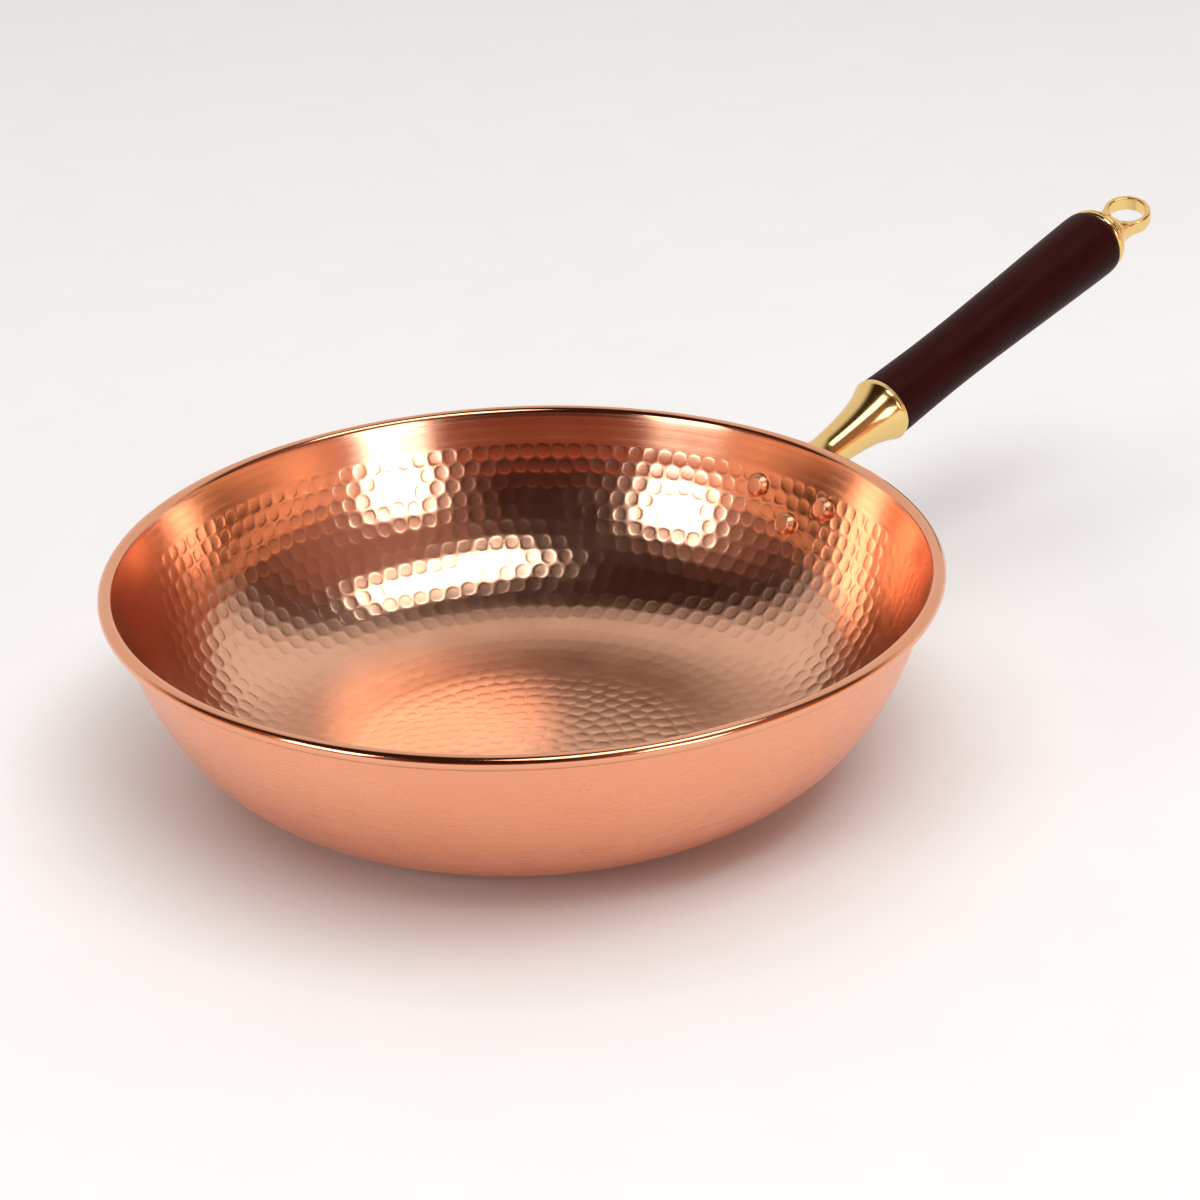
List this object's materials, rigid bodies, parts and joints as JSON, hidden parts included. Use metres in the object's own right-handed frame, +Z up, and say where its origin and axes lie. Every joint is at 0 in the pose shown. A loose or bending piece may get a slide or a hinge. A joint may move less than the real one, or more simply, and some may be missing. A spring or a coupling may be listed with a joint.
{
  "type": "wok",
  "caption": "Hammered copper wok with a flat base, flared wall and rolled rim, a riveted brass bracket and a long hardwood handle that ends in a hanging eye.",
  "frame": {"origin": "middle of the flat base, on the surface that the wok stands on", "axes": "+X runs out from the bowl towards the handle, +Z is up along the bowl's axis"},
  "size_m": [0.534, 0.32, 0.136],
  "materials": {
    "copper": "satin",
    "rivet_copper": "polished",
    "brass": "polished",
    "hardwood": "satin",
    "steel": "satin"
  },
  "bodies": {
    "pan": {"bowl": "copper", "rim_wire": "steel", "handle_bracket": "brass", "rivet_upper_left": "rivet_copper", "rivet_upper_right": "rivet_copper", "rivet_lower": "rivet_copper", "grip": "hardwood", "tie_rod": "steel"},
    "collar": {"end_collar": "brass"},
    "cap": {"end_cap": "brass"}
  },
  "joints": [
    {"name": "cap_back_off", "type": "slide", "parent": "pan", "child": "collar", "axis": [0.9636, 0, 0.2672], "range_m": [0, 0.00475]},
    {"name": "cap_turn", "type": "hinge", "parent": "collar", "child": "cap", "pos_m": [0.34405, 0, 0.12274], "axis": [0.9636, 0, 0.2672], "range_deg": [0, 1710]}
  ],
  "couplings": [
    {"joint": "cap_turn", "follows": "cap_back_off", "rad_per_m": 6283.2}
  ]
}
